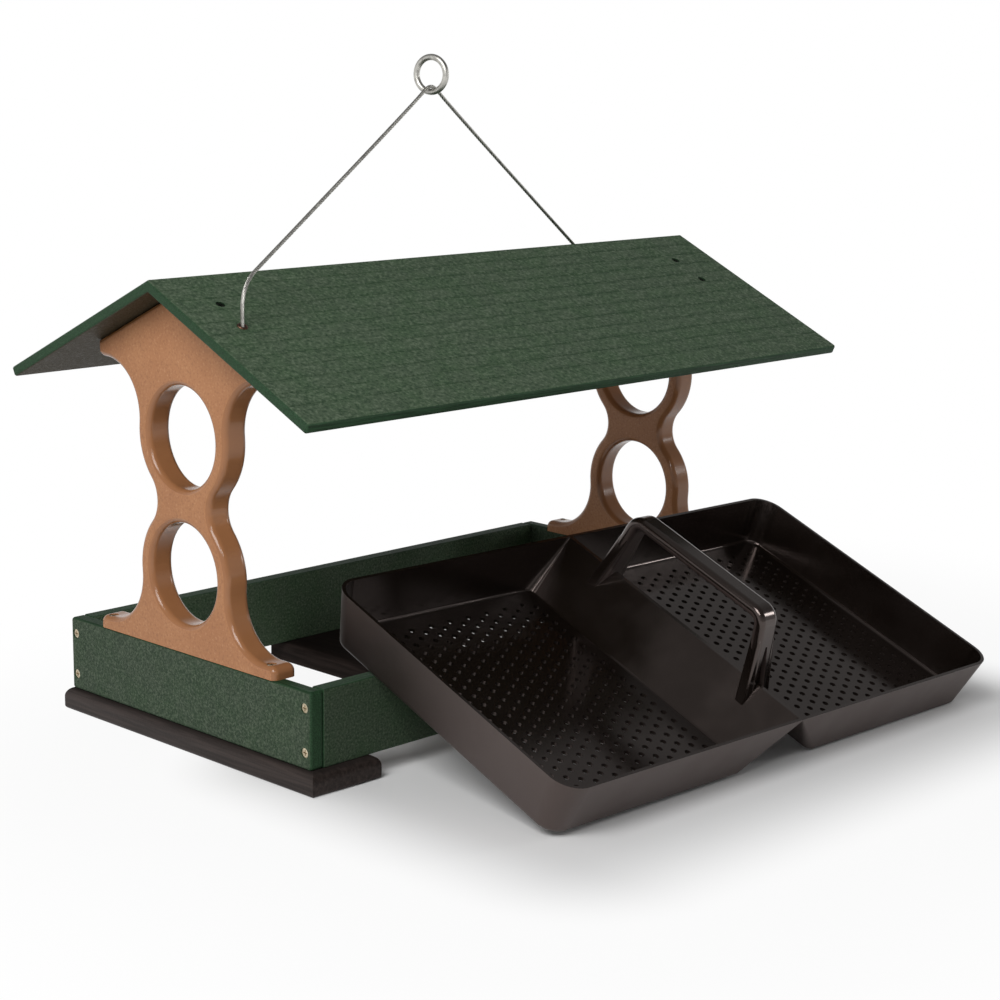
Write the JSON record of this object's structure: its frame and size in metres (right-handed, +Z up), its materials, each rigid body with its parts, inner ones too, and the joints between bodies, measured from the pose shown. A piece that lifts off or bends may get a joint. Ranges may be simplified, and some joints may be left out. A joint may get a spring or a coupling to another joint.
{
  "type": "fly-through bird feeder",
  "caption": "Covered fly-through bird feeder of plastic lumber: gable roof on pierced uprights, open base frame, hanging cable, and a lift-out seed tray with a handle.",
  "frame": {"origin": "under the middle slat, at the centre of the base, on the surface that the feeder stands on", "axes": "+X along the ridge to the right, -Y to the front where the tray leans, +Z up"},
  "size_m": [0.594, 0.5326, 0.5156],
  "materials": {
    "green_lumber": "pebbled, satin",
    "tan_lumber": "satin with rounded, polished edges",
    "dark_lumber": "satin",
    "tray_black": "moulded, glossy",
    "cable_steel": "stranded wire",
    "screw_brass": "plated"
  },
  "bodies": {
    "feeder": {"roof_panel_front": "green_lumber", "roof_panel_back": "green_lumber", "end_board_left": "green_lumber", "end_board_right": "green_lumber", "side_board_front": "green_lumber", "side_board_back": "green_lumber", "upright_left": "tan_lumber", "upright_right": "tan_lumber", "base_rail_left": "dark_lumber", "base_rail_right": "dark_lumber", "base_slat_middle": "dark_lumber", "corner_screws_left": "screw_brass", "corner_screws_right": "screw_brass", "foot_screws": "screw_brass", "roof_screws": "screw_brass", "base_screws": "screw_brass", "hanger_cable": "cable_steel", "hanger_ring": "cable_steel", "cable_stop_left": "cable_steel", "cable_stop_right": "cable_steel"},
    "tray": {"tray_shell": "tray_black", "tray_floor_left": "tray_black", "tray_floor_right": "tray_black", "tray_handle": "tray_black"}
  },
  "joints": [
    {"name": "tray_lift", "type": "slide", "parent": "feeder", "child": "tray", "axis": [0, -0.377, 0.9262], "range_m": [0, 0.12]}
  ]
}
